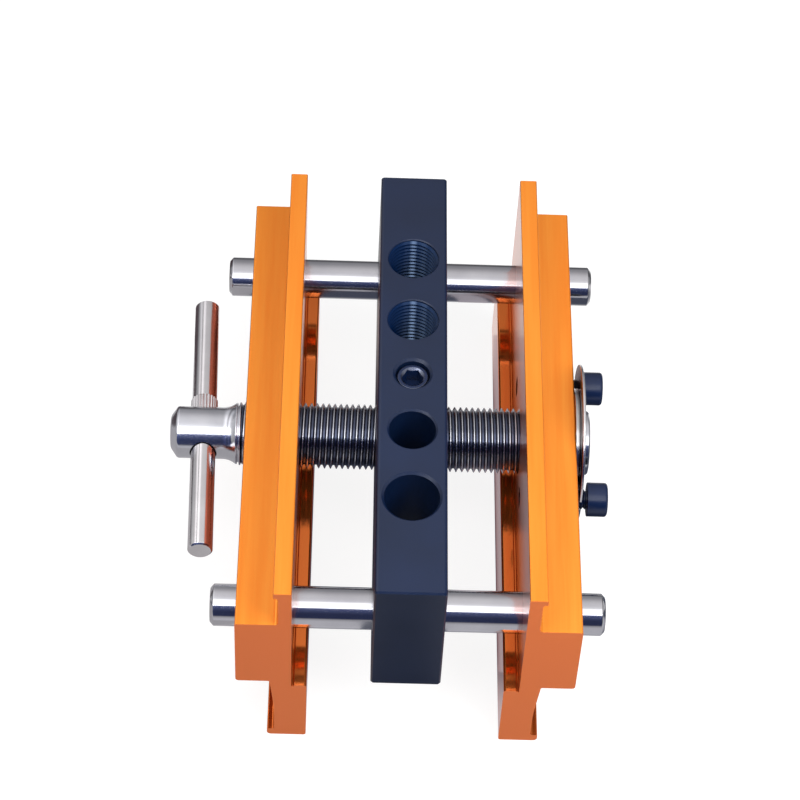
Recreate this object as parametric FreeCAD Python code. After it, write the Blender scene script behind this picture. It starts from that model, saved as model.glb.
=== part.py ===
import FreeCAD, Part
import os
from math import cos, pi, sin, sqrt, tan

from FreeCAD import Vector

# Self centring doweling jig.  Millimetres.
# X runs across the board, along the lead screw.  Y runs along the board edge.  Z is up.
# The origin is the middle of the guide block's underside, which sits on the board edge.

# Guide block
block_width = 20.0
block_length = 154.0
block_height = 45.7
block_edge_radius = 1.0
block_end_chamfer = 0.5

# Height of the lead screw and of the two guide rods above the board edge
screw_height = 14.85

# Guide holes through the block: place along Y, diameter, chamfer at the top
large_guide_hole = (-44.0, 15.8, 0.7)
small_guide_hole = (-20.3, 13.5, 0.55)
tapped_guide_holes = ((20.3, 15.0, 0.25), (44.0, 15.0, 0.25))

# Guide rods, pressed into the block
rod_diameter = 12.0
rod_length = 112.0
rod_offset = 61.4
rod_end_chamfer = 1.1
rod_clearance = 0.06

# Lead screw: left hand thread on the left of the block, right hand thread on the right
screw_diameter = 19.4
screw_clearance = 0.06
screw_block_clearance = 0.1
hub_diameter = 15.4
hub_end = -70.7
hub_end_radius = 3.4
flare_start = -55.3
flare_middle = -53.2
flare_middle_diameter = 16.2
flare_end = -51.3
flare_diameter = 18.2
thread_end = 50.8
screw_end = 53.2
pilot_diameter = 18.9
pilot_chamfer = 0.4

# Retaining screw: its dog point sits in a groove round the middle of the lead screw
retaining_diameter = 10.0
retaining_hole_diameter = 10.1
retaining_depth = 0.6
retaining_mouth_chamfer = 0.75
retaining_thread_length = 19.6
retaining_socket_depth = 6.0
dog_diameter = 6.0
groove_diameter = 14.0
groove_side_clearance = 0.1
groove_root_clearance = 0.3

# Handle bar, held in the hub by its knurled middle and turned out of square by bar_skew degrees
bar_diameter = 7.1
bar_length = 91.0
bar_middle = 2.5
bar_x = -61.0
bar_skew = 1.5
bar_end_chamfer = 0.5
knurl_diameter = 8.0
knurl_start = -1.2
knurl_end = 11.7
knurl_taper = 0.4

# Jaws, drawn for the right hand one and mirrored for the left
jaw_length = 155.6
jaw_top = 44.7
jaw_face = 32.5
jaw_edge_radius = 0.5
lip_reach = 37.6
lip_underside = 42.7
lip_edge_radius = 0.4
lip_lower_radius = 0.2
lip_cove = 1.1
neck_outside = 36.2
neck_fillet = 1.0
shoulder_top = 29.7
shoulder_outside = 48.3
shoulder_bottom = 1.2
shoulder_radius = 1.0
ledge_height = -0.7
ledge_radius = 0.8
relief_width = 0.8
relief_depth = 0.6
relief_edge_radius = 0.1
relief_corner_radius = 0.3
leg_face = 28.1
leg_outside = 38.6
leg_root_radius = 0.5
leg_waist = 37.3
waist_height = -13.0
waist_radius = 70.0
foot_reach = 39.4
foot_top = -24.2
foot_bottom = -27.1
foot_fillet = 0.8
foot_edge_radius = 0.4
foot_radius = 1.3

# Centring nut, in a counterbore in the right jaw.  Turned in its thread it sets the jaws' middle.
nut_diameter = 23.5
nut_start = 37.0
nut_end = 49.5
counterbore_diameter = 23.6

# Round plate that traps the nut, notched at its rim for its two screws
plate_diameter = 43.5
plate_thickness = 1.3
plate_hole_diameter = 20.1
plate_edge_chamfer = 0.25
plate_notch_width = 6.8

# Two cap screws that hold the plate, backed off by the gap under their heads
cap_screw_offset = 20.8
cap_head_gap = 1.4
cap_head_diameter = 10.0
cap_head_height = 6.0
cap_shank_diameter = 6.0
cap_shank_length = 18.0
cap_tapped_diameter = 6.1
cap_socket_depth = 3.2
socket_across_flats = 5.0


def along_x(start, end, diameter, y=0.0):
    """A cylinder along X, at the height of the lead screw."""
    return Part.makeCylinder(diameter / 2, end - start, Vector(start, y, screw_height), Vector(1, 0, 0))


def along_z(bottom, top, diameter, y=0.0):
    """A cylinder along Z, over the block's centre line."""
    return Part.makeCylinder(diameter / 2, top - bottom, Vector(0, y, bottom), Vector(0, 0, 1))


def mouth_cone(diameter, chamfer, y=0.0):
    """The cone that breaks the edge of a hole in the guide block's top."""
    radius = diameter / 2
    return Part.makeCone(radius + chamfer, radius, chamfer, Vector(0, y, block_height), Vector(0, 0, -1))


def revolved(outline, centre, axis):
    """A solid turned about the axis through centre."""
    face = Part.Face(outline)
    return face.revolve(centre, axis, 360)


def rounded_outline(corners, place):
    """A closed wire through the corners (a, b, radius), each rounded by its own radius.

    place turns the two numbers of a point into a Vector.
    """
    edges = []
    arcs = []
    for index, (a, b, radius) in enumerate(corners):
        corner = Vector(a, b, 0)
        before = Vector(*corners[index - 1][:2], 0) - corner
        after = Vector(*corners[(index + 1) % len(corners)][:2], 0) - corner
        before.normalize()
        after.normalize()
        if radius == 0:
            arcs.append((corner, corner, corner))
            continue
        half_angle = before.getAngle(after) / 2
        reach = radius / tan(half_angle)
        inwards = (before + after).normalize()
        middle = corner + inwards * (radius / sin(half_angle) - radius)
        arcs.append((corner + before * reach, middle, corner + after * reach))
    for index, (start, middle, end) in enumerate(arcs):
        if start != end:
            edges.append(Part.Arc(*(place(p.x, p.y) for p in (start, middle, end))).toShape())
        following = arcs[(index + 1) % len(arcs)][0]
        if (following - end).Length > 1e-6:
            edges.append(Part.LineSegment(place(end.x, end.y), place(following.x, following.y)).toShape())
    return Part.Wire(edges)


def turned_along_x(corners):
    """A solid turned about the lead screw's axis from corners (x, radius, rounding)."""
    outline = rounded_outline(corners, lambda x, r: Vector(x, 0, screw_height + r))
    return revolved(outline, Vector(0, 0, screw_height), Vector(1, 0, 0))


def hexagon_prism(centre, direction, length):
    """The hexagonal prism that a key socket takes out, from centre along direction."""
    corner_radius = socket_across_flats / sqrt(3)
    points = [Vector(corner_radius * cos(k * pi / 3), corner_radius * sin(k * pi / 3), 0) for k in range(7)]
    prism = Part.Face(Part.makePolygon(points)).extrude(Vector(0, 0, length))
    turn = FreeCAD.Rotation(Vector(0, 0, 1), direction)
    prism.Placement = FreeCAD.Placement(centre, turn)
    return prism


def guide_block():
    half_width = block_width / 2
    half_length = block_length / 2
    corners = [
        (-half_width, 0, block_edge_radius),
        (half_width, 0, block_edge_radius),
        (half_width, block_height, block_edge_radius),
        (-half_width, block_height, block_edge_radius),
    ]
    outline = rounded_outline(corners, lambda x, z: Vector(x, -half_length, z))
    block = Part.Face(outline).extrude(Vector(0, block_length, 0))
    end_edges = [edge for edge in block.Edges if abs(edge.CenterOfMass.y) > half_length - block_end_chamfer]
    block = block.makeChamfer(block_end_chamfer, end_edges)
    for y, diameter, chamfer in (large_guide_hole, small_guide_hole) + tapped_guide_holes:
        block = block.cut(along_z(-1, block_height + 1, diameter, y))
        block = block.cut(mouth_cone(diameter, chamfer, y))
    block = block.cut(along_x(-block_width, block_width, screw_diameter + 2 * screw_block_clearance))
    for y in (-rod_offset, rod_offset):
        block = block.cut(along_x(-block_width, block_width, rod_diameter, y))
    block = block.cut(along_z(screw_height, block_height + 1, retaining_hole_diameter))
    return block.cut(mouth_cone(retaining_hole_diameter, retaining_mouth_chamfer))


def guide_rod(y):
    rod = along_x(-rod_length / 2, rod_length / 2, rod_diameter, y)
    end_edges = [edge for edge in rod.Edges if len(edge.Vertexes) == 1]
    return rod.makeChamfer(rod_end_chamfer, end_edges)


def retaining_screw():
    top = block_height - retaining_depth
    shoulder = top - retaining_thread_length
    dog_end = screw_height + groove_diameter / 2 + groove_root_clearance
    screw = along_z(shoulder, top, retaining_diameter).fuse(along_z(dog_end, shoulder, dog_diameter))
    return screw.cut(hexagon_prism(Vector(0, 0, top), Vector(0, 0, -1), retaining_socket_depth))


def lead_screw():
    groove_half_width = dog_diameter / 2 + groove_side_clearance
    crest = screw_diameter / 2
    hub = hub_diameter / 2
    pilot = pilot_diameter / 2
    corners = [
        (hub_end, 0, 0),
        (hub_end, hub, hub_end_radius),
        (flare_start, hub, 0),
        (flare_middle, flare_middle_diameter / 2, 0),
        (flare_end, flare_diameter / 2, 0),
        (flare_end, crest, 0),
        (-groove_half_width, crest, 0),
        (-groove_half_width, groove_diameter / 2, 0),
        (groove_half_width, groove_diameter / 2, 0),
        (groove_half_width, crest, 0),
        (thread_end, crest, 0),
        (thread_end, pilot, 0),
        (screw_end - pilot_chamfer, pilot, 0),
        (screw_end, pilot - pilot_chamfer, 0),
        (screw_end, 0, 0),
    ]
    screw = turned_along_x(corners)
    hole = Part.makeCylinder(knurl_diameter / 2, hub_diameter, Vector(bar_x, -hub, screw_height), Vector(0, 1, 0))
    hole.rotate(Vector(bar_x, 0, screw_height), Vector(0, 0, 1), bar_skew)
    return screw.cut(hole)


def handle_bar():
    start = bar_middle - bar_length / 2
    end = bar_middle + bar_length / 2
    radius = bar_diameter / 2
    knurl_radius = knurl_diameter / 2
    corners = [
        (0, start, 0),
        (radius - bar_end_chamfer, start, 0),
        (radius, start + bar_end_chamfer, 0),
        (radius, knurl_start, 0),
        (knurl_radius, knurl_start + knurl_taper, 0),
        (knurl_radius, knurl_end - knurl_taper, 0),
        (radius, knurl_end, 0),
        (radius, end - bar_end_chamfer, 0),
        (radius - bar_end_chamfer, end, 0),
        (0, end, 0),
    ]
    outline = rounded_outline(corners, lambda r, y: Vector(bar_x + r, y, screw_height))
    hub_middle = Vector(bar_x, 0, screw_height)
    bar = revolved(outline, hub_middle, Vector(0, 1, 0))
    bar.rotate(hub_middle, Vector(0, 0, 1), bar_skew)
    return bar


def jaw_blank():
    """The right hand jaw's extrusion, before its holes are drilled."""
    corners = [
        (jaw_face, jaw_top, jaw_edge_radius),
        (lip_reach, jaw_top, lip_edge_radius),
        (lip_reach, lip_underside, lip_lower_radius),
        (neck_outside, lip_underside, lip_cove),
        (neck_outside, shoulder_top, neck_fillet),
        (shoulder_outside, shoulder_top, jaw_edge_radius),
        (shoulder_outside, shoulder_bottom, shoulder_radius),
        (leg_outside, shoulder_bottom, leg_root_radius),
        (leg_waist, waist_height, waist_radius),
        (leg_waist, foot_top, foot_fillet),
        (foot_reach, foot_top, foot_edge_radius),
        (foot_reach, foot_bottom, foot_radius),
        (leg_face, foot_bottom, ledge_radius),
        (leg_face, ledge_height, ledge_radius),
        (jaw_face - relief_width, ledge_height, relief_edge_radius),
        (jaw_face - relief_width, ledge_height - relief_depth, relief_corner_radius),
        (jaw_face, ledge_height - relief_depth, relief_corner_radius),
    ]
    outline = rounded_outline(corners, lambda x, z: Vector(x, -jaw_length / 2, z))
    return Part.Face(outline).extrude(Vector(0, jaw_length, 0))


def drilled_jaw():
    """The right hand jaw with its two rod bores and its lead screw bore."""
    jaw = jaw_blank()
    rod_bore = rod_diameter + 2 * rod_clearance
    for y in (-rod_offset, rod_offset):
        jaw = jaw.cut(along_x(0, shoulder_outside + 1, rod_bore, y))
    return jaw.cut(along_x(0, shoulder_outside + 1, screw_diameter + 2 * screw_clearance))


def left_jaw():
    return drilled_jaw().mirror(Vector(0, 0, 0), Vector(1, 0, 0))


def right_jaw():
    jaw = drilled_jaw()
    jaw = jaw.cut(along_x(nut_start, shoulder_outside + 1, counterbore_diameter))
    for y in (-cap_screw_offset, cap_screw_offset):
        jaw = jaw.cut(along_x(0, shoulder_outside + 1, cap_tapped_diameter, y))
    return jaw


def centring_nut():
    barrel = along_x(nut_start, nut_end, nut_diameter)
    return barrel.cut(along_x(nut_start, nut_end, screw_diameter + 2 * screw_clearance))


def nut_plate():
    outer_face = nut_end + plate_thickness
    rim = plate_diameter / 2
    hole = plate_hole_diameter / 2
    corners = [
        (nut_end, hole, 0),
        (nut_end, rim, 0),
        (outer_face - plate_edge_chamfer, rim, 0),
        (outer_face, rim - plate_edge_chamfer, 0),
        (outer_face, hole, 0),
    ]
    plate = turned_along_x(corners)
    half_notch = plate_notch_width / 2
    for side in (-1, 1):
        y = side * cap_screw_offset
        plate = plate.cut(along_x(nut_end - 1, outer_face + 1, plate_notch_width, y))
        mouth = Part.makeBox(plate_thickness + 2, plate_notch_width, plate_notch_width)
        mouth.translate(Vector(nut_end - 1, y - half_notch + side * half_notch, screw_height - half_notch))
        plate = plate.cut(mouth)
    return plate


def nut_screw(y):
    under_head = nut_end + plate_thickness + cap_head_gap
    top = under_head + cap_head_height
    shank = along_x(under_head - cap_shank_length, under_head, cap_shank_diameter, y)
    screw = shank.fuse(along_x(under_head, top, cap_head_diameter, y))
    return screw.cut(hexagon_prism(Vector(top, y, screw_height), Vector(-1, 0, 0), cap_socket_depth))


def save(name, shape):
    shape = shape.removeSplitter()
    print(f"{name}: valid {shape.isValid()}, solids {len(shape.Solids)}, {shape.Volume / 1000:.2f} cm3")
    shape.exportStep(f"parts/{name}.step")


os.makedirs("parts", exist_ok=True)
save("guide_block", guide_block())
save("guide_rod_front", guide_rod(-rod_offset))
save("guide_rod_back", guide_rod(rod_offset))
save("retaining_screw", retaining_screw())
save("lead_screw", lead_screw())
save("handle_bar", handle_bar())
save("left_jaw", left_jaw())
save("right_jaw", right_jaw())
save("centring_nut", centring_nut())
save("nut_plate", nut_plate())
save("nut_screw_front", nut_screw(-cap_screw_offset))
save("nut_screw_back", nut_screw(cap_screw_offset))
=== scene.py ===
from math import cos, pi, radians, sin, sqrt

import bmesh
import bpy
from mathutils import Matrix, Vector


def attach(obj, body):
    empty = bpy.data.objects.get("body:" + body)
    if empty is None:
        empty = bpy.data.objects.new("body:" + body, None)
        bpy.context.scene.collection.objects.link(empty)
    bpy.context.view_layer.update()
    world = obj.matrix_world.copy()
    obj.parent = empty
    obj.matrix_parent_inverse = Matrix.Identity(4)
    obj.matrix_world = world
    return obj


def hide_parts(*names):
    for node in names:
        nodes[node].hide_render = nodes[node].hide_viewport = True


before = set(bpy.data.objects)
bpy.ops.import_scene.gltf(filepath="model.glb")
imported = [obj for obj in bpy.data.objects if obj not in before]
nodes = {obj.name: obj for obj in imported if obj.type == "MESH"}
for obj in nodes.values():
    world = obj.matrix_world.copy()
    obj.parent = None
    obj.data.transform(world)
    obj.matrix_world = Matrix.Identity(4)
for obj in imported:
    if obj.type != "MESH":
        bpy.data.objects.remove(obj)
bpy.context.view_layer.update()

scene = bpy.context.scene
mm = 0.001
screwHeight = 14.85   # the lead screw's axis above the board edge, in mm like every size of a piece


# camera

view = {
    "place": (-0.02152, -0.51164, 0.67993),   # in metres
    "azimuth": -2.04,   # in degrees, like the two below
    "elevation": 51.64,
    "roll": 3.215,
    "lens": 126.97,
    "sensor": 36.0,
    "clipEnd": 20,   # in metres
}


def placeCamera():
    azimuth = radians(view["azimuth"])
    elevation = radians(view["elevation"])
    roll = radians(view["roll"])
    forward = Vector((-sin(azimuth) * cos(elevation), cos(azimuth) * cos(elevation), -sin(elevation)))
    right = forward.cross(Vector((0, 0, 1))).normalized()
    up = right.cross(forward)
    turnedRight = right * cos(roll) + up * sin(roll)
    turnedUp = up * cos(roll) - right * sin(roll)
    camera = bpy.data.objects.new("camera", bpy.data.cameras.new("camera"))
    camera.matrix_world = Matrix.Translation(view["place"]) @ Matrix(
        (turnedRight, turnedUp, -forward)).transposed().to_4x4()
    camera.data.lens = view["lens"]
    camera.data.sensor_width = view["sensor"]
    camera.data.clip_end = view["clipEnd"]
    scene.collection.objects.link(camera)
    scene.camera = camera


placeCamera()
print("camera placed")


# helpers for every node tree

def plug(tree, node, inputs):
    # each input is linked to another socket or given a plain value
    for name, value in inputs.items():
        if isinstance(value, bpy.types.NodeSocket):
            tree.links.new(value, node.inputs[name])
        else:
            node.inputs[name].default_value = value


def added(tree, kind, inputs=None, **settings):
    # a new node with its settings and its inputs, which go by name or by number
    node = tree.nodes.new(kind)
    for name, value in settings.items():
        setattr(node, name, value)
    plug(tree, node, inputs or {})
    return node


def maths(tree, operation, first, second=0):
    return added(tree, "ShaderNodeMath", {0: first, 1: second}, operation=operation).outputs[0]


def split(tree, vector):
    return added(tree, "ShaderNodeSeparateXYZ", {0: vector}).outputs


# helpers for materials

def newMaterial(name):
    material = bpy.data.materials.new(name)
    material.use_nodes = True
    tree = material.node_tree
    return material, tree, tree.nodes["Principled BSDF"]


def linearColour(red, green, blue):
    # from the 0 to 255 of a screen to the linear values of a shader
    return tuple((level / 255 / 12.92) if level < 10 else ((level / 255 + 0.055) / 1.055) ** 2.4
                 for level in (red, green, blue)) + (1,)


def inMetres(sizes):
    return tuple(size * mm for size in sizes)


def objectPlace(tree):
    return added(tree, "ShaderNodeTexCoord").outputs["Object"]


def grain(tree, scale, detail=3):
    mapping = added(tree, "ShaderNodeMapping", {"Vector": objectPlace(tree), "Scale": scale})
    noise = added(tree, "ShaderNodeTexNoise", {
        "Vector": mapping.outputs["Vector"], "Scale": 1, "Detail": detail})
    return noise.outputs["Fac"]


noiseSpan = (0.3, 0.7)   # where most of a noise texture's values lie
axisSpan = (0.9, 0.97)   # a normal's part along an axis: less isn't facing it, and more is


def ranged(tree, value, low, high, span=noiseSpan):
    # runs from low to high while the value runs through the span
    node = added(tree, "ShaderNodeMapRange", {
        "Value": value, "From Min": span[0], "From Max": span[1], "To Min": low, "To Max": high})
    return node.outputs["Result"]


# the numbers of a mix node's two inputs and of its output
mixSockets = {"FLOAT": (2, 3, 0), "VECTOR": (4, 5, 1), "RGBA": (6, 7, 2)}


def mixed(tree, factor, first, second, kind="RGBA"):
    # from the first to the second as the factor goes from 0 to 1
    start, end, result = mixSockets[kind]
    node = added(tree, "ShaderNodeMix", {"Factor": factor, start: first, end: second}, data_type=kind)
    return node.outputs[result]


def bumped(tree, height, depth):
    node = added(tree, "ShaderNodeBump", {"Height": height, "Distance": depth * mm, "Strength": 1})
    return node.outputs["Normal"]


def facing(tree, axis):
    # 1 on the faces that look along the axis, either way
    normal = added(tree, "ShaderNodeTexCoord").outputs["Normal"]
    return ranged(tree, maths(tree, "ABSOLUTE", split(tree, normal)[axis]), 0, 1, axisSpan)


def distanceFrom(tree, place, y, z):
    # the distance from a line along X through y and z
    shift = added(tree, "ShaderNodeMapping", {
        "Vector": place, "Location": (0, -y * mm, -z * mm), "Scale": (0, 1, 1)})
    length = added(tree, "ShaderNodeVectorMath", {0: shift.outputs["Vector"]}, operation="LENGTH")
    return length.outputs["Value"]


# finish of the jaws

anodised = {
    "dark": linearColour(248, 138, 42),
    "light": linearColour(255, 157, 56),
    # painted shade: the sides and the low faces between the jaws get this darker orange
    "side": linearColour(226, 116, 50),
    # painted shade: the jaws' outer sides get this darker red brown
    "outer": linearColour(206, 88, 42),
    "end": linearColour(220, 113, 54),
    "bored": linearColour(70, 26, 18),   # painted shade on the walls of the two tapped holes
    "roughness": (0.10, 0.17),
    "lowRoughness": 0.1,
    "sideRoughness": 0.36,
    "outerRoughness": 0.13,
    "endRoughness": 0.6,
    "metallic": 0.66,
    "sideMetallic": 0.86,
    "endMetallic": 0.1,
    "coat": 0.9,   # clear oxide film on the sides
    "coatRoughness": 0.2,
    "lowHeight": (12, 8),   # from the first height down to the second the top faces become polished and take the side colour, a painted shade
    "outerReach": (45.5, 47.5),   # and between these distances from the middle a side becomes an outer one
    "holeOffset": 20.8,
    "holeRadius": (3.2, 3.3),
    "clouds": (420, 16, 420),   # long soft streaks
    "lines": (5200, 30, 5200),   # extrusion lines run along Y
    "lineDepth": 0.003,
    "lineShade": (0, 0.25),   # how much darker the lines are
    "sawn": (2500, 2500, 400),   # the two ends are sawn
    "sawnDepth": 0.004,
}


def anodisedFinish():
    look = anodised
    material, tree, shader = newMaterial("orangeAnodised")
    place = objectPlace(tree)
    parts = split(tree, place)
    end = facing(tree, "Y")
    flank = facing(tree, "X")
    # the outer sides, which take the painted shade of the outer colour
    far = ranged(tree, maths(tree, "ABSOLUTE", parts["X"]), 0, 1, inMetres(look["outerReach"]))
    outer = maths(tree, "MULTIPLY", flank, far)
    low = ranged(tree, parts["Z"], 0, 1, inMetres(look["lowHeight"]))
    # painted shade: the sides and the low faces take the darker side colour
    side = maths(tree, "MAXIMUM", flank, low)
    # painted shade on the walls of the two tapped holes in each jaw
    mirrored = added(tree, "ShaderNodeVectorMath", {0: place}, operation="ABSOLUTE").outputs["Vector"]
    away = distanceFrom(tree, mirrored, look["holeOffset"], screwHeight)
    bored = mixed(tree, flank, ranged(tree, away, 1, 0, inMetres(look["holeRadius"])), 0, "FLOAT")
    lines = grain(tree, look["lines"])
    clouds = grain(tree, look["clouds"], detail=4)
    colour = mixed(tree, ranged(tree, clouds, 0, 1), look["dark"], look["light"])
    colour = mixed(tree, ranged(tree, lines, *look["lineShade"]), colour, look["dark"])
    for mask, shade in ((side, "side"), (outer, "outer"), (end, "end"), (bored, "bored")):
        colour = mixed(tree, mask, colour, look[shade])
    rough = ranged(tree, lines, *look["roughness"])
    for mask, level in ((low, "lowRoughness"), (flank, "sideRoughness"),
                        (outer, "outerRoughness"), (end, "endRoughness")):
        rough = mixed(tree, mask, rough, look[level], "FLOAT")
    metal = mixed(tree, side, look["metallic"], look["sideMetallic"], "FLOAT")
    drawn = bumped(tree, lines, look["lineDepth"])
    sawn = bumped(tree, grain(tree, look["sawn"]), look["sawnDepth"])
    plug(tree, shader, {
        "Base Color": colour,
        "Roughness": rough,
        "Metallic": mixed(tree, end, metal, look["endMetallic"], "FLOAT"),
        "Coat Weight": mixed(tree, flank, 0, look["coat"], "FLOAT"),
        "Coat Roughness": look["coatRoughness"],
        "Normal": mixed(tree, end, drawn, sawn, "VECTOR"),
    })
    return material


# finishes of the blackened steel

oxideClouds = (45, 45, 45)

blackOxide = {
    "dark": (0.0015, 0.006, 0.022, 1),
    "light": (0.0025, 0.008, 0.029, 1),
    "roughness": (0.32, 0.40),
    "speckle": (2400, 2400, 2400),
    "speckleDepth": 0.004,
}
blackScrew = {
    "dark": (0.0015, 0.0065, 0.027, 1),
    "light": (0.0025, 0.009, 0.038, 1),
    "roughness": (0.24, 0.34),
    "speckle": (3000, 3000, 3000),
    "speckleDepth": 0.002,
}
tappedOxide = {   # the threads in the guide holes, glossy with oil, with a painted highlight down each hole
    "dark": (0.0006, 0.006, 0.028, 1),
    "light": (0.001, 0.008, 0.035, 1),
    "roughness": (0.14, 0.2),
    "speckle": (2400, 2400, 2400),
    "speckleDepth": 0.001,
    "paintedHighlight": (2.4, 1.4),   # painted highlight: the refractive index along a strip of each hole's wall, and away from it
    "paintedHighlightReach": (0.3, 1.2),
    "tint": (0.46, 0.66, 1.0, 1),
}


def oxideFinish(name, look):
    material, tree, shader = newMaterial(name)
    clouds = grain(tree, oxideClouds)
    plug(tree, shader, {
        "Base Color": mixed(tree, ranged(tree, clouds, 0, 1), look["dark"], look["light"]),
        "Roughness": ranged(tree, clouds, *look["roughness"]),
        "Normal": bumped(tree, grain(tree, look["speckle"]), look["speckleDepth"]),
    })
    # a painted highlight: a strip of stronger reflection down the front and back of each hole's wall
    if "paintedHighlight" in look:
        reach = maths(tree, "ABSOLUTE", split(tree, objectPlace(tree))["X"])
        gloss = ranged(tree, reach, *look["paintedHighlight"], inMetres(look["paintedHighlightReach"]))
        plug(tree, shader, {"IOR": gloss, "Specular Tint": look["tint"]})
    return material


# finishes of the bright steel

steelClouds = (90, 90, 90)

groundSteel = {   # guide rods, centreless ground
    "dark": linearColour(192, 191, 195),
    "light": linearColour(204, 203, 206),
    "roughness": (0.10, 0.15),
    "lines": (5000, 60, 60),
    "lineDepth": 0.0004,
}
turnedSteel = {   # lead screw and its hub
    "dark": linearColour(196, 197, 202),
    "light": linearColour(212, 212, 216),
    "roughness": (0.12, 0.2),
    "lines": (3400, 3400, 3400),   # fine pebbles
    "lineDepth": 0.0022,
}
threadSteel = dict(   # painted shade: darker towards the bottom of the thread
    turnedSteel,
    roughness=(0.18, 0.28),
    valleyShade=(0.075, 0.088, 0.135, 1),
    valleyShadeReach=(8.6, 9.62),   # distances from the screw's axis
)
barSteel = {   # handle bar, drawn along its length
    "dark": linearColour(216, 213, 213),
    "light": linearColour(230, 227, 227),
    "roughness": (0.12, 0.2),
    "lines": (2600, 20, 2600),
    "lineDepth": 0.0022,
}
knurlSteel = dict(barSteel, roughness=(0.34, 0.42), lines=(2600, 120, 2600))
nutSteel = {
    "dark": linearColour(188, 184, 182),
    "light": linearColour(206, 203, 200),
    "roughness": (0.16, 0.24),
    "lines": (1800, 1800, 1800),
    "lineDepth": 0.0008,
}
plateSteel = {   # bright flange plate
    "dark": linearColour(214, 212, 212),
    "light": linearColour(228, 226, 226),
    "roughness": (0.16, 0.26),
    "lines": (900, 900, 900),
    "lineDepth": 0.0008,
}
plateBackShade = {   # the plate's side towards the jaw, painted dark as shade in the narrow gap
    "dark": (0.06, 0.042, 0.05, 1),
    "light": (0.08, 0.058, 0.066, 1),
    "roughness": (0.2, 0.28),
    "lines": (900, 900, 900),
    "lineDepth": 0.0004,
}
rimHighlight = {   # rim and socket mouth of the retaining screw, a painted highlight given as brighter steel
    "dark": (0.16, 0.18, 0.24, 1),
    "light": (0.24, 0.26, 0.33, 1),
    "roughness": (0.24, 0.34),
    "lines": (1500, 1500, 1500),
    "lineDepth": 0.001,
}


def steelFinish(name, look):
    material, tree, shader = newMaterial(name)
    lines = grain(tree, look["lines"], detail=4)
    clouds = grain(tree, steelClouds)
    colour = mixed(tree, ranged(tree, clouds, 0, 1), look["dark"], look["light"])
    # painted shade in the thread's valleys
    if "valleyShade" in look:
        reach = distanceFrom(tree, objectPlace(tree), 0, screwHeight)
        depth = ranged(tree, reach, 0, 1, inMetres(look["valleyShadeReach"]))
        colour = mixed(tree, depth, look["valleyShade"], colour)
    plug(tree, shader, {
        "Base Color": colour,
        "Roughness": ranged(tree, lines, *look["roughness"]),
        "Metallic": 1,
        "Normal": bumped(tree, lines, look["lineDepth"]),
    })
    return material


finishes = {
    "orangeAnodised": anodisedFinish(),
    "blackOxide": oxideFinish("blackOxide", blackOxide),
    "blackScrew": oxideFinish("blackScrew", blackScrew),
    "tappedOxide": oxideFinish("tappedOxide", tappedOxide),
    "groundSteel": steelFinish("groundSteel", groundSteel),
    "turnedSteel": steelFinish("turnedSteel", turnedSteel),
    "threadSteel": steelFinish("threadSteel", threadSteel),
    "barSteel": steelFinish("barSteel", barSteel),
    "knurlSteel": steelFinish("knurlSteel", knurlSteel),
    "nutSteel": steelFinish("nutSteel", nutSteel),
    "plateSteel": steelFinish("plateSteel", plateSteel),
    "plateBackShade": steelFinish("plateBackShade", plateBackShade),
    "rimHighlight": steelFinish("rimHighlight", rimHighlight),
}
print("finishes made")


# helpers for meshes

upright = Matrix.Identity(4)
alongX = Matrix.Rotation(pi / 2, 4, "Y")   # turns +Z onto +X
alongY = Matrix.Rotation(-pi / 2, 4, "X")   # turns +Z onto +Y


def rounded(corners, steps):
    # corners (along, radius, rounding) become the points of an outline with those corners rounded
    points = []
    last = len(corners) - 1
    for index, (along, radius, rounding) in enumerate(corners):
        here = Vector((along, radius))
        if rounding == 0 or index in (0, last):
            points.append(here)
            continue
        before = (Vector(corners[index - 1][:2]) - here).normalized()
        after = (Vector(corners[index + 1][:2]) - here).normalized()
        half = before.angle(after) / 2
        reach = rounding / sin(half) * cos(half)
        centre = here + (before + after).normalized() * (rounding / sin(half))
        start = here + before * reach - centre
        end = here + after * reach - centre
        for step in range(steps + 1):
            swing = start.angle_signed(end) * step / steps
            points.append(centre + Matrix.Rotation(-swing, 2) @ start)
    return points


def turned(points, segments, closed=False):
    # a solid of revolution about Z from points (along, radius) in mm; closed joins the last to the first
    mesh = bmesh.new()
    rings = []
    for along, radius in points:
        # a ring of vertices, or one where the outline meets the axis
        angles = [2 * pi * step / segments for step in range(segments)] if radius else [0]
        rings.append([mesh.verts.new((radius * mm * cos(angle), radius * mm * sin(angle), along * mm))
                      for angle in angles])
    pairs = list(zip(rings, rings[1:])) + ([(rings[-1], rings[0])] if closed else [])
    for low, high in pairs:
        for this in range(segments):
            following = (this + 1) % segments
            if len(low) == 1 and len(high) == 1:
                continue
            if len(low) == 1:
                mesh.faces.new((low[0], high[following], high[this]))
            elif len(high) == 1:
                mesh.faces.new((low[this], low[following], high[0]))
            else:
                mesh.faces.new((low[this], low[following], high[following], high[this]))
    bmesh.ops.recalc_face_normals(mesh, faces=mesh.faces)
    return mesh


def rodOf(start, end, radius, segments):
    # a plain rod, which cuts a hole or a socket
    return turned([(start, 0), (start, radius), (end, radius), (end, 0)], segments)


def placed(mesh, turn, x, y, z):
    mesh.transform(Matrix.Translation((x * mm, y * mm, z * mm)) @ turn)
    return mesh


def smoothed(data, angle):
    data.shade_smooth()
    data.set_sharp_from_angle(angle=radians(angle))


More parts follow.
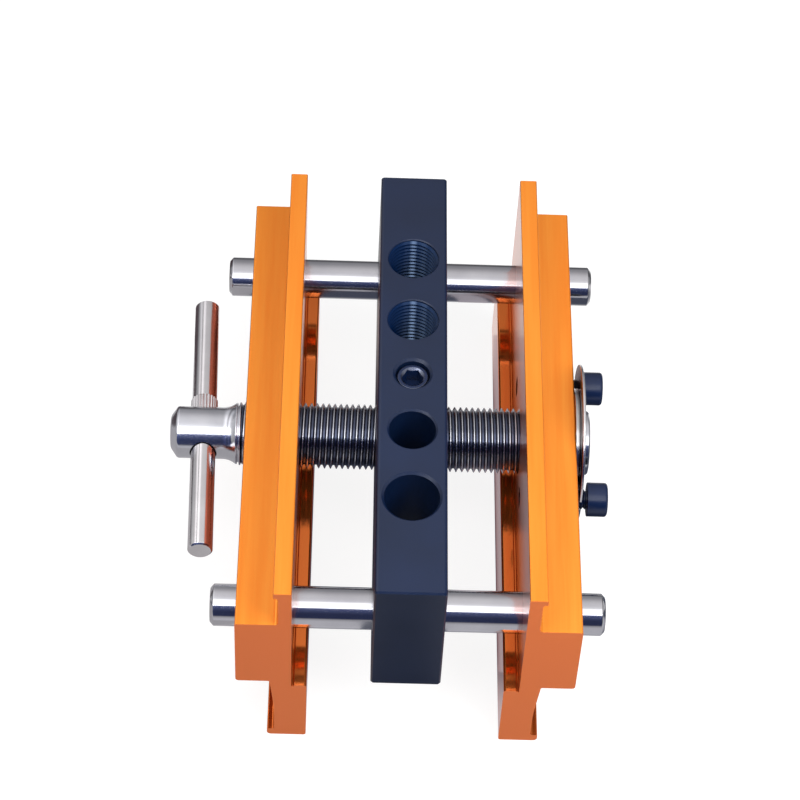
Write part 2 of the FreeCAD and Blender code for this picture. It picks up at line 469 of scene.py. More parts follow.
def piece(name, parts, smoothAngle=35):
    # one object from pairs of a bmesh and its finish, at the origin with its place in its mesh
    whole = bmesh.new()
    used = []
    for part, finish in parts:
        if finish not in used:
            used.append(finish)
        for face in part.faces:
            face.material_index = used.index(finish)
        data = bpy.data.meshes.new("part")
        part.to_mesh(data)
        whole.from_mesh(data)
        bpy.data.meshes.remove(data)
        part.free()
    data = bpy.data.meshes.new(name)
    whole.to_mesh(data)
    whole.free()
    for finish in used:
        data.materials.append(finishes[finish])
    smoothed(data, smoothAngle)
    made = bpy.data.objects.new(name, data)
    scene.collection.objects.link(made)
    return made


def withParts(name, core, parts, smoothAngle=30):
    # a piece made of a cut core and the parts added to it
    whole = bmesh.new()
    whole.from_mesh(core.data)
    finish = core.data.materials[0].name
    bpy.data.objects.remove(core)
    return piece(name, [(whole, finish)] + parts, smoothAngle)


def repaint(made, finish, chosen):
    # gives the faces that are chosen another finish
    slots = made.data.materials
    if slots.find(finish) < 0:
        slots.append(finishes[finish])
    for face in made.data.polygons:
        if chosen(face):
            face.material_index = slots.find(finish)


def evaluated(thing):
    # its mesh with the modifiers applied
    return bpy.data.meshes.new_from_object(thing.evaluated_get(bpy.context.evaluated_depsgraph_get()))


def grown(tree, settings):
    # what a Geometry Nodes tree makes with these settings, as a bmesh
    holder = bpy.data.objects.new("holder", bpy.data.meshes.new("holder"))
    scene.collection.objects.link(holder)
    modifier = holder.modifiers.new("grow", "NODES")
    modifier.node_group = tree
    for socket in tree.interface.items_tree:
        if socket.in_out == "INPUT":
            modifier[socket.identifier] = settings[socket.name]
    data = evaluated(holder)
    mesh = bmesh.new()
    mesh.from_mesh(data)
    bpy.data.meshes.remove(data)
    bpy.data.objects.remove(holder)
    return mesh


def cutWith(made, cutter):
    # takes the cutter's bmesh out of the piece
    data = bpy.data.meshes.new("cutter")
    cutter.to_mesh(data)
    cutter.free()
    tool = bpy.data.objects.new("cutter", data)
    scene.collection.objects.link(tool)
    modifier = made.modifiers.new("cut", "BOOLEAN")
    modifier.operation = "DIFFERENCE"
    modifier.solver = "EXACT"
    modifier.object = tool
    cut = evaluated(made)
    made.modifiers.clear()
    old = made.data
    made.data = cut
    cut.name = made.name
    bpy.data.meshes.remove(old)
    bpy.data.objects.remove(tool)


def newTree(name, inputs):
    # an empty Geometry Nodes tree, what it is given and where its mesh goes
    tree = bpy.data.node_groups.new(name, "GeometryNodeTree")
    tree.interface.new_socket("Geometry", in_out="OUTPUT", socket_type="NodeSocketGeometry")
    for title, kind in inputs.items():
        tree.interface.new_socket(title, in_out="INPUT", socket_type="NodeSocket" + kind)
    return tree, tree.nodes.new("NodeGroupInput").outputs, tree.nodes.new("NodeGroupOutput")


# the thread tree: one ridge wound round Z, outside a shaft or inside a hole

threadInputs = {
    "Length": "Float",
    "Pitch": "Float",
    "Radius": "Float",
    "Depth": "Float",
    "Foot Width": "Float",
    "Crest Width": "Float",
    "Seat": "Float",
    "Turn": "Float",
    "Steps": "Int",
    "Right Hand": "Bool",
    "Fade": "Float",
}
leastScale = 0.02   # of the ridge's outline, at its two ends


def threadTree():
    tree, given, result = newTree("threadRidge", threadInputs)
    turns = maths(tree, "DIVIDE", given["Length"], given["Pitch"])
    spiral = added(tree, "GeometryNodeCurveSpiral", {
        "Resolution": given["Steps"],
        "Rotations": turns,
        "Start Radius": given["Radius"],
        "End Radius": given["Radius"],
        "Height": given["Length"],
        "Reverse": given["Right Hand"],
    })
    path = added(tree, "GeometryNodeSetCurveNormal", {"Curve": spiral.outputs["Curve"]}, mode="Z_UP")
    outline = added(tree, "GeometryNodeCurvePrimitiveQuadrilateral", {
        "Height": given["Depth"],
        "Bottom Width": given["Foot Width"],
        "Top Width": given["Crest Width"],
        "Offset": 0,
    }, mode="TRAPEZOID")
    rise = maths(tree, "SUBTRACT", maths(tree, "MULTIPLY", given["Depth"], 0.5), given["Seat"])
    lift = added(tree, "ShaderNodeCombineXYZ", {"Y": rise})
    raised = added(tree, "GeometryNodeTransform", {
        "Geometry": outline.outputs["Curve"], "Translation": lift.outputs["Vector"]})
    spin = added(tree, "ShaderNodeCombineXYZ", {"Z": given["Turn"]})
    outward = added(tree, "GeometryNodeTransform", {
        "Geometry": raised.outputs["Geometry"], "Rotation": spin.outputs["Vector"]})
    along = added(tree, "GeometryNodeSplineParameter").outputs["Factor"]
    toEnd = maths(tree, "MINIMUM", along, maths(tree, "SUBTRACT", 1, along))
    grow = maths(tree, "DIVIDE", maths(tree, "MULTIPLY", toEnd, turns), given["Fade"])
    sweep = added(tree, "GeometryNodeCurveToMesh", {
        "Curve": path.outputs["Curve"],
        "Profile Curve": outward.outputs["Geometry"],
        "Scale": maths(tree, "MINIMUM", maths(tree, "MAXIMUM", grow, leastScale), 1),
        "Fill Caps": True,
    })
    plug(tree, result, {"Geometry": sweep.outputs["Mesh"]})
    return tree


ridgeTree = threadTree()


def threadRidge(thread):
    # foot is the radius at the ridge's foot, and seat is how far the ridge goes into what carries it
    rightHand = thread["hand"] == "right"
    outward = pi / 2 if rightHand == thread.get("inside", False) else -pi / 2
    return grown(ridgeTree, {
        "Length": thread["length"] * mm,
        "Pitch": thread["pitch"] * mm,
        "Radius": thread["foot"] * mm,
        "Depth": (thread["depth"] + thread["seat"]) * mm,
        "Foot Width": thread["footWidth"] * mm,
        "Crest Width": thread["crestWidth"] * mm,
        "Seat": thread["seat"] * mm,
        "Turn": outward,
        "Steps": thread["steps"],
        "Right Hand": rightHand,
        "Fade": thread["fade"],
    })


# jaws and guide block keep their solids and get their finish

def dress(node, finish):
    for slot in nodes[node].material_slots:
        slot.material = finishes[finish]


dress("left_jaw", "orangeAnodised")
dress("right_jaw", "orangeAnodised")
dress("guide_block", "blackOxide")
print("solids dressed")


# guide rods

rod = {
    "radius": 6.0,
    "length": 112.0,
    "offset": 61.4,
    "chamferLength": 1.0,
    "chamferDepth": 1.15,
    "edge": 0.5,
    "edgeSteps": 5,
    "segments": 128,
}


def guideRod(name, y, node):
    half = rod["length"] / 2
    shoulder = half - rod["chamferLength"]
    rim = rod["radius"] - rod["chamferDepth"]
    corners = [
        (-half, 0, 0),
        (-half, rim, rod["edge"]),
        (-shoulder, rod["radius"], rod["edge"]),
        (shoulder, rod["radius"], rod["edge"]),
        (half, rim, rod["edge"]),
        (half, 0, 0),
    ]
    mesh = turned(rounded(corners, rod["edgeSteps"]), rod["segments"])
    made = piece(name, [(placed(mesh, alongX, 0, y, screwHeight), "groundSteel")])
    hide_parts(node)
    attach(made, "block")


guideRod("frontRod", -rod["offset"], "guide_rod_front")
guideRod("backRod", rod["offset"], "guide_rod_back")
print("guide rods made")


# threads in the tapped guide holes

tappedHoles = {
    "centres": (20.3, 44.0),
    "bottom": 0.5,
    "thread": {
        "foot": 7.5,
        "depth": 0.75,
        "seat": 0.1,
        "pitch": 1.5,
        "length": 44.7,
        "hand": "right",
        "inside": True,
        "footWidth": 1.35,
        "crestWidth": 0.25,
        "steps": 72,
        "fade": 0.5,
    },
}


def tappedHole(name, y):
    ridge = placed(threadRidge(tappedHoles["thread"]), upright, 0, y, tappedHoles["bottom"])
    made = piece(name, [(ridge, "tappedOxide")])
    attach(made, "block")


for number, centre in enumerate(tappedHoles["centres"], 1):
    tappedHole(f"tappedHole{number}", centre)
print("tapped holes made")


# lead screw

leadScrew = {
    "hubEnd": -70.7,
    "hubFace": 4.7,
    "hubEdge": -68.6,
    "hubRadius": 7.7,
    "hubFaceRounding": 2.6,
    "hubEdgeRounding": 1.2,
    "flareCorner": -53.1,
    "flareRounding": 6.0,
    "rimStart": -51.35,
    "rimEnd": -51.0,
    "rimRadius": 9.1,
    "rimRounding": 0.12,   # of the collar too
    "grooveStart": -50.85,
    "grooveEnd": -50.5,
    "grooveRadius": 8.5,
    "grooveRounding": 0.08,
    "collarStart": -50.35,
    "collarEnd": -49.95,
    "collarRadius": 9.35,
    "collarSlope": 0.3,
    "crest": 9.7,
    "root": 8.62,
    "neck": 7.0,
    "neckHalf": 3.1,
    "threadEnd": 50.8,
    "pilot": 9.45,
    "pilotRounding": 0.1,
    "end": 53.2,
    "endChamfer": 0.4,
    "roundingSteps": 8,
    "segments": 128,
    "collarGap": 0.35,   # from the collar to the left thread
    "neckGap": 0.9,   # from each thread to the neck
    "endGap": 0.8,   # from the right thread to the pilot
    "thread": {"seat": 0.08, "pitch": 1.75, "footWidth": 1.38, "crestWidth": 0.22, "steps": 72, "fade": 0.3},
    "barX": -61.0,
    "barHole": 4.0,
    "barHoleReach": 20,
    "barHoleSegments": 64,
    "barSkew": 1.5,
    "smoothAngle": 35,
}
barTurn = Matrix.Rotation(radians(leadScrew["barSkew"]), 4, "Z") @ alongY


def leadScrewPiece():
    screw = leadScrew
    corners = [
        (screw["hubEnd"], 0, 0),
        (screw["hubEnd"], screw["hubFace"], screw["hubFaceRounding"]),
        (screw["hubEdge"], screw["hubRadius"], screw["hubEdgeRounding"]),
        (screw["flareCorner"], screw["hubRadius"], screw["flareRounding"]),
        (screw["rimStart"], screw["rimRadius"], screw["rimRounding"]),
        (screw["rimEnd"], screw["rimRadius"], screw["rimRounding"]),
        (screw["grooveStart"], screw["grooveRadius"], screw["grooveRounding"]),
        (screw["grooveEnd"], screw["grooveRadius"], screw["grooveRounding"]),
        (screw["collarStart"], screw["collarRadius"], screw["rimRounding"]),
        (screw["collarEnd"], screw["collarRadius"], screw["rimRounding"]),
        (screw["collarEnd"] + screw["collarSlope"], screw["root"], 0),
        (-screw["neckHalf"], screw["root"], 0),
        (-screw["neckHalf"], screw["neck"], 0),
        (screw["neckHalf"], screw["neck"], 0),
        (screw["neckHalf"], screw["root"], 0),
        (screw["threadEnd"], screw["root"], 0),
        (screw["threadEnd"], screw["pilot"], screw["pilotRounding"]),
        (screw["end"] - screw["endChamfer"], screw["pilot"], screw["pilotRounding"]),
        (screw["end"], screw["pilot"] - screw["endChamfer"], screw["pilotRounding"]),
        (screw["end"], 0, 0),
    ]
    core = turned(rounded(corners, screw["roundingSteps"]), screw["segments"])
    core = piece("leadScrewCore", [(placed(core, alongX, 0, 0, screwHeight), "turnedSteel")])
    reach = screw["barHoleReach"]
    hole = rodOf(-reach, reach, screw["barHole"], screw["barHoleSegments"])
    cutWith(core, placed(hole, barTurn, screw["barX"], 0, screwHeight))
    neckEnd = screw["neckHalf"] + screw["neckGap"]
    ridges = []
    for hand, start, end in (("left", screw["collarEnd"] + screw["collarGap"], -neckEnd),
                             ("right", neckEnd, screw["threadEnd"] - screw["endGap"])):
        ridge = threadRidge(dict(screw["thread"], foot=screw["root"], depth=screw["crest"] - screw["root"],
                                 hand=hand, length=end - start))
        ridges.append((placed(ridge, alongX, start, 0, screwHeight), "threadSteel"))
    made = withParts("leadScrew", core, ridges, screw["smoothAngle"])
    repaint(made, "threadSteel",
            lambda face: screw["collarEnd"] < face.center.x / mm < screw["threadEnd"])
    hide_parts("lead_screw")
    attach(made, "screw")


leadScrewPiece()
print("lead screw made")


# handle bar

handleBar = {
    "radius": 3.66,
    "length": 91.6,
    "middle": 2.8,
    "endChamfer": 0.5,
    "rimRounding": 0.15,
    "shoulderRounding": 0.2,
    "roundingSteps": 4,
    "segments": 96,
    "knurlRadius": 4.0,
    "knurlRoot": 3.58,
    "knurlStart": -1.2,
    "knurlEnd": 11.7,
    "ridges": 24,
    "smoothAngle": 50,
}
knurlInputs = {"Length": "Float", "Root Radius": "Float", "Ridge Height": "Float", "Ridges": "Int"}
pointsPerRidge = 8


def knurlTree():
    # round ridges along Z: a circle, pushed out between its furrows, drawn along a line
    tree, given, result = newTree("straightKnurl", knurlInputs)
    top = added(tree, "ShaderNodeCombineXYZ", {"Z": given["Length"]})
    line = added(tree, "GeometryNodeCurvePrimitiveLine", {"End": top.outputs["Vector"]})
    resolution = maths(tree, "MULTIPLY", given["Ridges"], pointsPerRidge)
    circle = added(tree, "GeometryNodeCurvePrimitiveCircle", {
        "Resolution": resolution, "Radius": given["Root Radius"]})
    place = added(tree, "GeometryNodeInputPosition").outputs["Position"]
    parts = split(tree, place)
    angle = maths(tree, "ARCTAN2", parts["Y"], parts["X"])
    halfTurns = maths(tree, "MULTIPLY", angle, maths(tree, "MULTIPLY", given["Ridges"], 0.5))
    wave = maths(tree, "ABSOLUTE", maths(tree, "SINE", halfTurns))
    height = maths(tree, "MULTIPLY", wave, given["Ridge Height"])
    push = added(tree, "ShaderNodeVectorMath", {
        0: place, "Scale": maths(tree, "DIVIDE", height, given["Root Radius"])}, operation="SCALE")
    star = added(tree, "GeometryNodeSetPosition", {
        "Geometry": circle.outputs["Curve"], "Offset": push.outputs["Vector"]})
    sweep = added(tree, "GeometryNodeCurveToMesh", {
        "Curve": line.outputs["Curve"], "Profile Curve": star.outputs["Geometry"], "Fill Caps": True})
    plug(tree, result, {"Geometry": sweep.outputs["Mesh"]})
    return tree


def handleBarPiece():
    bar = handleBar
    start = bar["middle"] - bar["length"] / 2
    end = bar["middle"] + bar["length"] / 2
    chamfer = bar["endChamfer"]
    rim = bar["radius"] - chamfer
    corners = [
        (start, 0, 0),
        (start, rim, bar["rimRounding"]),
        (start + chamfer, bar["radius"], bar["shoulderRounding"]),
        (end - chamfer, bar["radius"], bar["shoulderRounding"]),
        (end, rim, bar["rimRounding"]),
        (end, 0, 0),
    ]
    shaft = turned(rounded(corners, bar["roundingSteps"]), bar["segments"])
    knurl = grown(knurlTree(), {
        "Length": (bar["knurlEnd"] - bar["knurlStart"]) * mm,
        "Root Radius": bar["knurlRoot"] * mm,
        "Ridge Height": (bar["knurlRadius"] - bar["knurlRoot"]) * mm,
        "Ridges": bar["ridges"],
    })
    bmesh.ops.recalc_face_normals(knurl, faces=knurl.faces)
    knurl = placed(knurl, upright, 0, 0, bar["knurlStart"])
    parts = [(placed(part, barTurn, leadScrew["barX"], 0, screwHeight), finish)
             for part, finish in ((shaft, "barSteel"), (knurl, "knurlSteel"))]
    made = piece("handleBar", parts, bar["smoothAngle"])
    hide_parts("handle_bar")
    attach(made, "screw")


handleBarPiece()
print("handle bar made")


# retaining screw and cap screws, with chamfered rims, sockets and threads

retainingScrew = {
    "radius": 5.0,
    "threadDepth": 0.85,
    "pitch": 1.5,
    "threadSteps": 48,
    "threadStart": 0.9,   # above the bottom
    "threadStop": 0.4,   # below the lip
    "top": 44.1,
    "topChamfer": 0.7,
    "topRounding": 0.15,
    "lipDrop": 0.3,
    "lipInset": 0.05,
    "lipRounding": 0.1,
    "bottom": 25.5,
    "dogRadius": 3.0,
    "dogEnd": 22.2,
    "dogRounding": 0.3,
    "roundingSteps": 4,
    "segments": 96,
    "socket": 5.6,
    "socketDepth": 5.0,
    "socketMouth": 0.3,
    "highlightDepth": 0.65,
    "highlightSlope": (0.2, 0.95),   # the normal's Z on the steepest face with the painted highlight and on the flattest
}
capScrew = {
    "radius": 3.0,
    "threadDepth": 0.55,
    "pitch": 1.0,
    "threadSteps": 36,
    "threadStart": 0.6,   # from the tip
    "threadStop": 0.1,   # from the head
    "tip": 34.2,
    "tipChamfer": 0.4,
    "underHead": 52.2,
    "underRounding": 0.15,
    "headRadius": 5.0,
    "headEnd": 58.2,
    "headRounding": 0.9,
    "offset": 20.8,
    "roundingSteps": 8,
    "segments": 96,
    "socket": 5.0,
    "socketDepth": 3.2,
    "socketMouth": 0.15,
}
overshoot = 1   # how far a cutter reaches past the face that it cuts
socketCone = {"depth": 1, "above": 0.2, "segments": 64}   # cuts the mouth, from below the face to above it
smallThread = {"seat": 0.06, "footShare": 0.9, "crestShare": 0.14, "fade": 0.5}


def socketCut(made, screw, turn, face, x, y, z):
    # a hexagon socket and its coned mouth, sunk below the face
    corner = screw["socket"] / sqrt(3)
    mouth = corner + screw["socketMouth"]
    depth = socketCone["depth"]
    above = socketCone["above"]
    hexagon = rodOf(face - screw["socketDepth"], face + overshoot, corner, 6)
    cutWith(made, placed(hexagon, turn, x, y, z))
    outline = [
        (face - depth, 0),
        (face - depth, mouth - depth),
        (face + above, mouth + above),
        (face + above, 0),
    ]
    cutWith(made, placed(turned(outline, socketCone["segments"]), turn, x, y, z))


def screwThread(screw, start, end):
    return threadRidge({
        "foot": screw["radius"] - screw["threadDepth"],
        "depth": screw["threadDepth"],
        "seat": smallThread["seat"],
        "pitch": screw["pitch"],
        "footWidth": screw["pitch"] * smallThread["footShare"],
        "crestWidth": screw["pitch"] * smallThread["crestShare"],
        "steps": screw["threadSteps"],
        "fade": smallThread["fade"],
        "hand": "right",
        "length": end - start,
    })


def retainingScrewPiece():
    screw = retainingScrew
    core = screw["radius"] - screw["threadDepth"]
    lip = screw["top"] - screw["topChamfer"]
    inset = screw["lipInset"]
    corners = [
        (screw["dogEnd"], 0, 0),
        (screw["dogEnd"], screw["dogRadius"], screw["dogRounding"]),
        (screw["bottom"], screw["dogRadius"], 0),
        (screw["bottom"], core, 0),
        (lip - screw["lipDrop"], core, 0),
        (lip - inset, screw["radius"] - inset, screw["lipRounding"]),
        (screw["top"], screw["radius"] - screw["topChamfer"], screw["topRounding"]),
        (screw["top"], 0, 0),
    ]
    mesh = turned(rounded(corners, screw["roundingSteps"]), screw["segments"])
    body = piece("retainingScrewCore", [(mesh, "blackScrew")])
    socketCut(body, screw, upright, screw["top"], 0, 0, 0)
    start, end = screw["bottom"] + screw["threadStart"], lip - screw["threadStop"]
    ridge = placed(screwThread(screw, start, end), upright, 0, 0, start)
    made = withParts("retainingScrew", body, [(ridge, "blackScrew")])
    # painted highlight on the rim's chamfer and the socket's mouth
    steepest, flattest = screw["highlightSlope"]
    repaint(made, "rimHighlight",
            lambda face: face.center.z / mm > screw["top"] - screw["highlightDepth"]
            and steepest < face.normal.z < flattest)
    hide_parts("retaining_screw")
    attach(made, "block")


def capScrewPiece(name, y, node):
    screw = capScrew
    core = screw["radius"] - screw["threadDepth"]
    chamfer = screw["tipChamfer"]
    corners = [
        (screw["tip"], 0, 0),
        (screw["tip"], core - chamfer, 0),
        (screw["tip"] + chamfer, core, 0),
        (screw["underHead"], core, 0),
        (screw["underHead"], screw["headRadius"], screw["underRounding"]),
        (screw["headEnd"], screw["headRadius"], screw["headRounding"]),
        (screw["headEnd"], 0, 0),
    ]
    mesh = turned(rounded(corners, screw["roundingSteps"]), screw["segments"])
    body = piece(name + "Core", [(placed(mesh, alongX, 0, y, screwHeight), "blackScrew")])
    socketCut(body, screw, alongX, screw["headEnd"], 0, y, screwHeight)
    start, end = screw["tip"] + screw["threadStart"], screw["underHead"] - screw["threadStop"]
    ridge = placed(screwThread(screw, start, end), alongX, start, y, screwHeight)
    made = withParts(name, body, [(ridge, "blackScrew")])
    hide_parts(node)
    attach(made, "right_jaw")


retainingScrewPiece()
capScrewPiece("frontCapScrew", -capScrew["offset"], "nut_screw_front")
capScrewPiece("backCapScrew", capScrew["offset"], "nut_screw_back")
print("fasteners made")


# centring nut, with the collar that stands between the jaw and the plate, and its plate

centringNut = {
    "start": 37.0,
    "end": 49.9,
    "radius": 11.75,
    "collarStart": 48.36,
    "collarRadius": 16.2,
    "bore": 9.76,
    "edge": 0.25,
    "edgeSteps": 4,
    "segments": 128,
}
nutPlate = {
    "start": 49.9,
    "end": 50.7,
    "radius": 23.4,
    "hole": 10.05,
    "edge": 0.22,
    "edgeSteps": 4,
    "segments": 160,
    "screwHole": 3.2,
    "screwHoleSegments": 64,
    "smoothAngle": 35,
    "backSlope": -0.95,   # a face whose normal's X is less looks towards the jaw
}


def centringNutPiece():
    nut = centringNut
    corners = [
        (nut["start"], nut["bore"], 0),
        (nut["start"], nut["radius"], nut["edge"]),
        (nut["collarStart"], nut["radius"], 0),
        (nut["collarStart"], nut["collarRadius"], nut["edge"]),
        (nut["end"], nut["collarRadius"], nut["edge"]),
        (nut["end"], nut["bore"], 0),
    ]
    ring = turned(rounded(corners, nut["edgeSteps"]), nut["segments"], closed=True)
    made = piece("centringNut", [(placed(ring, alongX, 0, 0, screwHeight), "nutSteel")])
    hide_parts("centring_nut")
    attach(made, "right_jaw")


def nutPlatePiece():
    plate = nutPlate
    corners = [
        (plate["start"], plate["hole"], 0),
        (plate["start"], plate["radius"], plate["edge"]),
        (plate["end"], plate["radius"], plate["edge"]),
        (plate["end"], plate["hole"], 0),
    ]
    disc = turned(rounded(corners, plate["edgeSteps"]), plate["segments"], closed=True)
    made = piece("nutPlate", [(placed(disc, alongX, 0, 0, screwHeight), "plateSteel")])
    for y in (-capScrew["offset"], capScrew["offset"]):
        hole = rodOf(plate["start"] - overshoot, plate["end"] + overshoot,
                     plate["screwHole"], plate["screwHoleSegments"])
        cutWith(made, placed(hole, alongX, 0, y, screwHeight))
    smoothed(made.data, plate["smoothAngle"])
    # painted shade on the plate's side towards the jaw
    repaint(made, "plateBackShade", lambda face: face.normal.x < plate["backSlope"])
    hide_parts("nut_plate")
    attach(made, "right_jaw")


centringNutPiece()
nutPlatePiece()
print("centring nut and plate made")


# world and floor

white = (1, 1, 1, 1)
studio = {   # sizes in metres
    "ambient": 0.28,
    "ambientTilt": (0.18, -0.22, 0.10),   # more from the right, the front and above
    "floorHeight": -0.0271,
    "floorHalf": 3.0,
    "floorGlow": 0.88,
    "floorGrey": (0.2, 0.2, 0.2, 1),
    "tentRadius": 0.49,
    "tentHalf": 0.7,
    "tentSteps": 48,
    "tentDip": 0.08,   # radians below the horizon, so that the tent meets the floor
    "tentEndBottom": -0.03,
    "matHalf": (0.9, 1.25),
    "matLift": 0.0002,
    "lampSize": 0.3,
    "lamps": ((1.3, (-0.14, -0.12, 0.38)), (2.3, (0.2, -0.15, 0.31))),   # each its power and place
}


def emptyMaterial(name):
    material = bpy.data.materials.new(name)
    material.use_nodes = True
    material.node_tree.nodes.clear()
    return material, material.node_tree


def shown(tree):
    # 1 for the rays that show the background: straight ones, mirrored ones and those through glass
    path = added(tree, "ShaderNodeLightPath").outputs
    mirrored = maths(tree, "MAXIMUM", path["Is Camera Ray"], path["Is Glossy Ray"])
    return maths(tree, "MAXIMUM", mirrored, path["Is Transmission Ray"])


def rectangle(low, high, z):
    return [(low[0], low[1], z), (high[0], low[1], z), (high[0], high[1], z), (low[0], high[1], z)]


def makeWorld():
    world = bpy.data.worlds.new("studioWorld")
    world.use_nodes = True
    tree = world.node_tree
    tree.nodes.clear()
    way = added(tree, "ShaderNodeTexCoord").outputs["Generated"]
    tilt = added(tree, "ShaderNodeVectorMath", {0: way, 1: studio["ambientTilt"]}, operation="DOT_PRODUCT")
    level = maths(tree, "ADD", tilt.outputs["Value"], studio["ambient"])
    background = added(tree, "ShaderNodeBackground", {"Color": mixed(tree, shown(tree), level, white)})
    added(tree, "ShaderNodeOutputWorld", {"Surface": background.outputs["Background"]})
    scene.world = world


def makeFloor():
    material, tree = emptyMaterial("paleFloor")
    lit = added(tree, "ShaderNodeBsdfDiffuse", {"Color": studio["floorGrey"]})
    strength = maths(tree, "MULTIPLY", shown(tree), studio["floorGlow"])
    glow = added(tree, "ShaderNodeEmission", {"Color": white, "Strength": strength})
    both = added(tree, "ShaderNodeAddShader", {0: lit.outputs["BSDF"], 1: glow.outputs["Emission"]})
    added(tree, "ShaderNodeOutputMaterial", {"Surface": both.outputs["Shader"]})
    half = studio["floorHalf"]
    data = bpy.data.meshes.new("floor")
    data.from_pydata(rectangle((-half, -half), (half, half), studio["floorHeight"]), [], [(0, 1, 2, 3)])
    data.materials.append(material)
    floor = bpy.data.objects.new("floor", data)
    scene.collection.objects.link(floor)


# a tent over the object and a mat under it, which only the gloss sees

# the tent's bands by angle over the object: 0 is the horizon behind it, 180 the one in front
tentBands = (
    (0, (0.13, 0.13, 0.14)),
    (12, (0.34, 0.34, 0.36)),
    (30, (0.42, 0.42, 0.44)),
    (44, (0.60, 0.59, 0.61)),
    (58, (0.78, 0.77, 0.79)),
    (70, (0.88, 0.87, 0.89)),
    (84, (0.93, 0.92, 0.95)),
    (99, (1.1, 1.1, 1.13)),
    (104, (2.0, 2.0, 2.05)),
    (127, (2.0, 2.03, 2.1)),
    (128.5, (4.5, 4.6, 4.8)),
    (130.5, (4.5, 4.6, 4.8)),
    (133.5, (0.12, 0.15, 0.34)),
    (145, (0.075, 0.095, 0.21)),
    (160, (0.03, 0.04, 0.10)),
    (180, (0.03, 0.04, 0.10)),
)

# how much brighter or darker the tent is along X: stripes on its left, which show in the handle bar
tentStripes = (
    (-0.7, 0.8), (-0.52, 1.2), (-0.45, 1.9), (-0.38, 1.9), (-0.34, 0.75), (-0.30, 0.75), (-0.25, 2.0),
    (-0.2, 2.0), (-0.13, 1.25), (-0.1, 1.0), (0.2, 1.0), (0.27, 0.35), (0.7, 0.3),
)

# the bands of the tent's ends, by height
tentEndBands = ((0.0, (0.36, 0.36, 0.38)), (0.1, (0.46, 0.46, 0.48)), (0.36, (0.8, 0.8, 0.82)))

# painted shade and light on the floor as the gloss sees it, from in front of the object to behind it:
# darkest under the object, where its shadow falls
matBands = (
    (-1.2, (0.02, 0.028, 0.075)),
    (-0.42, (0.02, 0.028, 0.075)),
    (-0.35, (0.22, 0.22, 0.26)),
    (-0.24, (0.45, 0.45, 0.48)),
    (-0.15, (0.66, 0.66, 0.70)),
    (-0.07, (0.66, 0.66, 0.70)),
    (-0.05, (0.09, 0.10, 0.14)),
    (0.05, (0.09, 0.10, 0.14)),
    (0.075, (0.9, 0.9, 0.9)),
    (0.14, (0.9, 0.9, 0.9)),
    (0.17, (0.14, 0.14, 0.15)),
    (1.2, (0.12, 0.12, 0.13)),
)

# patches on it, each two corners and a grey: shade in front of the block, light under the hub and under the
# right leg's inner side, and shade at the back left, which the left jaw's outer side shows to the handle bar
matPatches = (
    ((-0.013, -0.22), (0.013, -0.062), (0.17, 0.18, 0.22)),
    ((-0.4, -0.12), (-0.052, 0.06), (0.5, 0.49, 0.51)),
    ((0.017, -0.055), (0.027, 0.075), (0.52, 0.48, 0.52)),
    ((-0.4, 0.07), (-0.075, 0.32), (0.09, 0.07, 0.08)),
)


def rampAlong(tree, value, stops):
    # a colour that runs through the stops, each a value and its colour
    low, high = stops[0][0], stops[-1][0]
    ramp = added(tree, "ShaderNodeValToRGB", {"Fac": ranged(tree, value, 0, 1, (low, high))})
    elements = ramp.color_ramp.elements
    while len(elements) < len(stops):
        elements.new(0.5)   # its place is set below
    for element, (stop, colour) in zip(elements, stops):
        element.position = (stop - low) / (high - low)
        element.color = colour + (1,)
    return ramp.outputs["Color"]


def angleOver(tree, parts):
    # degrees from the horizon behind, over the object, to the one in front
    above = maths(tree, "MAXIMUM", parts["Z"], 1e-5)   # never at or below the horizon
    return maths(tree, "MULTIPLY", maths(tree, "ARCTAN2", above, parts["Y"]), 180 / pi)


def heightOver(tree, parts):
    return parts["Z"]


def depthOver(tree, parts):
    return parts["Y"]


def glowing(name, stops, sample, stripes=()):
    # an emission whose colour runs through the stops along the value that sample gives
    material, tree = emptyMaterial(name)
    parts = split(tree, objectPlace(tree))
    glow = added(tree, "ShaderNodeEmission", {"Color": rampAlong(tree, sample(tree, parts), stops)})
    if stripes:
        greys = [(x, (grey,) * 3) for x, grey in stripes]
        plug(tree, glow, {"Strength": rampAlong(tree, parts["X"], greys)})
    added(tree, "ShaderNodeOutputMaterial", {"Surface": glow.outputs["Emission"]})
    return material


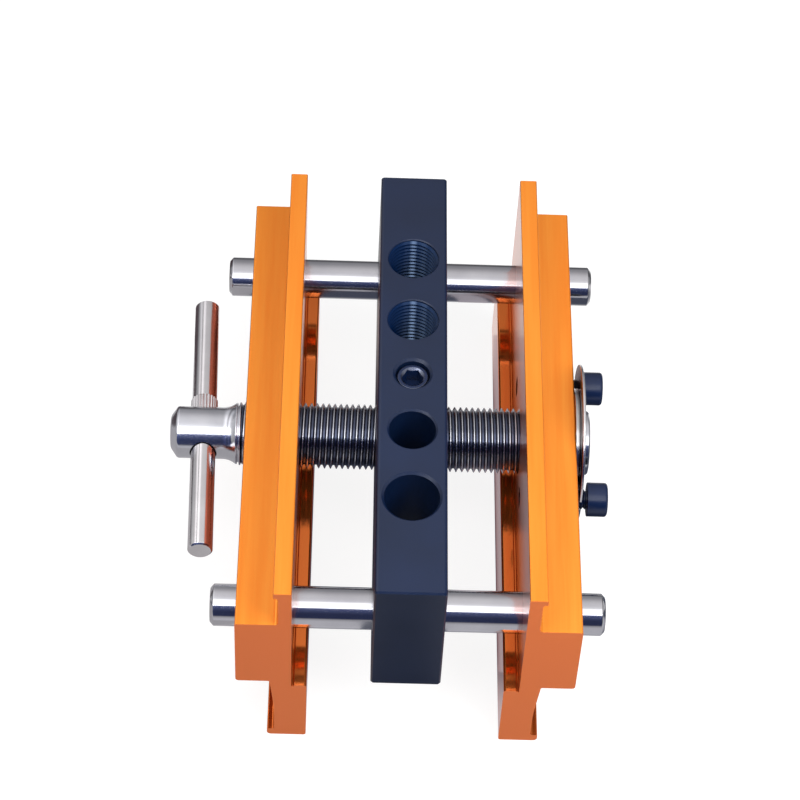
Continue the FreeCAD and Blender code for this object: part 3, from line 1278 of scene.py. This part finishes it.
def glossSheet(name, points, faces, material):
    data = bpy.data.meshes.new(name)
    data.from_pydata(points, [], faces)
    data.materials.append(material)
    sheet = bpy.data.objects.new(name, data)
    sheet.visible_camera = False
    sheet.visible_diffuse = False
    sheet.visible_transmission = False
    sheet.visible_shadow = False
    sheet.visible_volume_scatter = False
    scene.collection.objects.link(sheet)


def makeTent():
    # a half round sheet, grey with a white window and a dark front, and its two ends
    half, reach = studio["tentHalf"], studio["tentRadius"]
    steps, dip, bottom = studio["tentSteps"], studio["tentDip"], studio["tentEndBottom"]
    points, faces, ends = [], [], []
    for step in range(steps + 1):
        angle = -dip + (pi + 2 * dip) * step / steps
        points += [(x, reach * cos(angle), reach * sin(angle)) for x in (-half, half)]
        if step:
            faces.append((2 * step - 2, 2 * step - 1, 2 * step + 1, 2 * step))
    for x in (-half, half):
        ends += [(x, -reach, bottom), (x, reach, bottom), (x, reach, reach), (x, -reach, reach)]
    glossSheet("lightTent", points, faces, glowing("tentCloth", tentBands, angleOver, tentStripes))
    glossSheet("tentEnds", ends, [(0, 1, 2, 3), (4, 5, 6, 7)], glowing("endCloth", tentEndBands, heightOver))


# the mat holds painted shade and light, which the gloss sees as the floor
def makeMat():
    x, y = studio["matHalf"]
    lift = studio["matLift"]
    z = studio["floorHeight"] + lift
    cloth = glowing("shadeMatCloth", matBands, depthOver)
    glossSheet("shadeMat", rectangle((-x, -y), (x, y), z), [(0, 1, 2, 3)], cloth)
    for number, (low, high, grey) in enumerate(matPatches, 1):
        cloth = glowing(f"patchCloth{number}", ((-1, grey), (1, grey)), depthOver)
        glossSheet(f"matPatch{number}", rectangle(low, high, z + lift * number), [(0, 1, 2, 3)], cloth)


def makeLamps():
    for number, (power, place) in enumerate(studio["lamps"], 1):
        light = bpy.data.lights.new(f"softLamp{number}", "AREA")
        light.size = studio["lampSize"]
        light.energy = power
        lamp = bpy.data.objects.new(f"softLamp{number}", light)
        lamp.location = place
        lamp.rotation_euler = (-Vector(place)).to_track_quat("-Z", "Y").to_euler()
        lamp.visible_glossy = False
        scene.collection.objects.link(lamp)


makeWorld()
makeFloor()
makeTent()
makeMat()
makeLamps()
scene.view_settings.view_transform = "Standard"
print("studio made")
